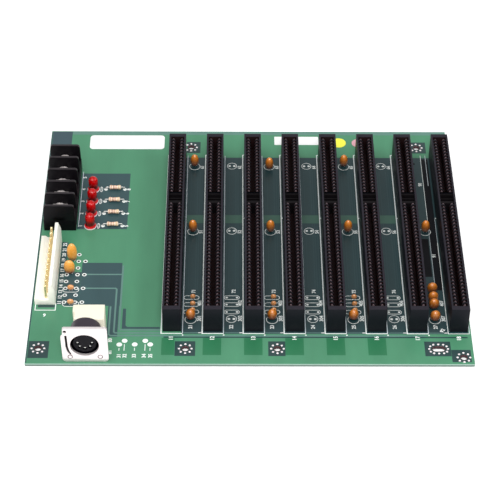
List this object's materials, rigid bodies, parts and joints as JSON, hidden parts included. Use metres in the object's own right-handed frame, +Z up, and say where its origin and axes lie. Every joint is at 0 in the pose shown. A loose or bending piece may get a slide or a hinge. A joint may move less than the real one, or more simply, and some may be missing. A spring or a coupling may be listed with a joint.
{
  "type": "passive backplane board",
  "caption": "Passive backplane board: a flat circuit board with long card edge slots, a barrier terminal strip, a power header and a round socket.",
  "frame": {"origin": "middle of the board's underside", "axes": "+Z up out of the component side, +X to the right along the front edge, +Y to the back along the slots"},
  "size_m": [0.2192, 0.181, 0.024],
  "materials": {
    "solder_mask": "green solder mask over copper, satin",
    "slot_plastic": "black moulded plastic",
    "contact_metal": "plated spring contacts, dull in their wells",
    "terminal_plastic": "black moulded plastic",
    "screw_metal": "nickel plated steel",
    "lamp_plastic": "clear red moulded lens",
    "tinned_wire": "tinned copper wire",
    "resistor_coating": "beige lacquer with colour bands",
    "header_plastic": "cream moulded plastic",
    "pin_metal": "gold flashed pins",
    "shield_metal": "bright tinned sheet",
    "socket_plastic": "black moulded plastic",
    "rear_plastic": "cream moulded plastic",
    "capacitor_coating": "orange dipped resin",
    "small_capacitor_coating": "tan dipped resin"
  },
  "bodies": {
    "root": {"back_capacitor_1": "capacitor_coating", "back_capacitor_3": "capacitor_coating", "back_capacitor_5": "capacitor_coating", "capacitor_leads": "tinned_wire", "card_slot_1": "slot_plastic", "card_slot_1_contacts": "contact_metal", "card_slot_2": "slot_plastic", "card_slot_2_contacts": "contact_metal", "card_slot_3": "slot_plastic", "card_slot_3_contacts": "contact_metal", "card_slot_4": "slot_plastic", "card_slot_4_contacts": "contact_metal", "card_slot_5": "slot_plastic", "card_slot_5_contacts": "contact_metal", "card_slot_6": "slot_plastic", "card_slot_6_contacts": "contact_metal", "card_slot_7": "slot_plastic", "card_slot_7_contacts": "contact_metal", "card_slot_8": "slot_plastic", "card_slot_8_contacts": "contact_metal", "circuit_board": "solder_mask", "column_capacitor_1": "capacitor_coating", "column_capacitor_2": "capacitor_coating", "column_capacitor_3": "capacitor_coating", "column_capacitor_4": "capacitor_coating", "front_capacitor_1": "capacitor_coating", "front_capacitor_3": "capacitor_coating", "front_capacitor_5": "capacitor_coating", "header_capacitor_front": "small_capacitor_coating", "header_capacitor_low": "capacitor_coating", "header_capacitor_small": "small_capacitor_coating", "header_capacitor_tall": "capacitor_coating", "indicator_lamp_1": "lamp_plastic", "indicator_lamp_2": "lamp_plastic", "indicator_lamp_3": "lamp_plastic", "indicator_lamp_4": "lamp_plastic", "middle_capacitor_1": "capacitor_coating", "middle_capacitor_3": "capacitor_coating", "middle_capacitor_5": "capacitor_coating", "middle_capacitor_7": "capacitor_coating", "power_header": "header_plastic", "power_header_pins": "pin_metal", "resistor_1": "resistor_coating", "resistor_2": "resistor_coating", "resistor_3": "resistor_coating", "resistor_4": "resistor_coating", "resistor_leads": "tinned_wire", "small_capacitors_1": "small_capacitor_coating", "small_capacitors_3": "small_capacitor_coating", "small_capacitors_5": "small_capacitor_coating", "socket_barrel": "socket_plastic", "socket_contacts": "pin_metal", "socket_rear_body": "rear_plastic", "socket_shield": "shield_metal", "terminal_clamps": "screw_metal", "terminal_screws": "screw_metal", "terminal_strip": "terminal_plastic"}
  },
  "joints": []
}
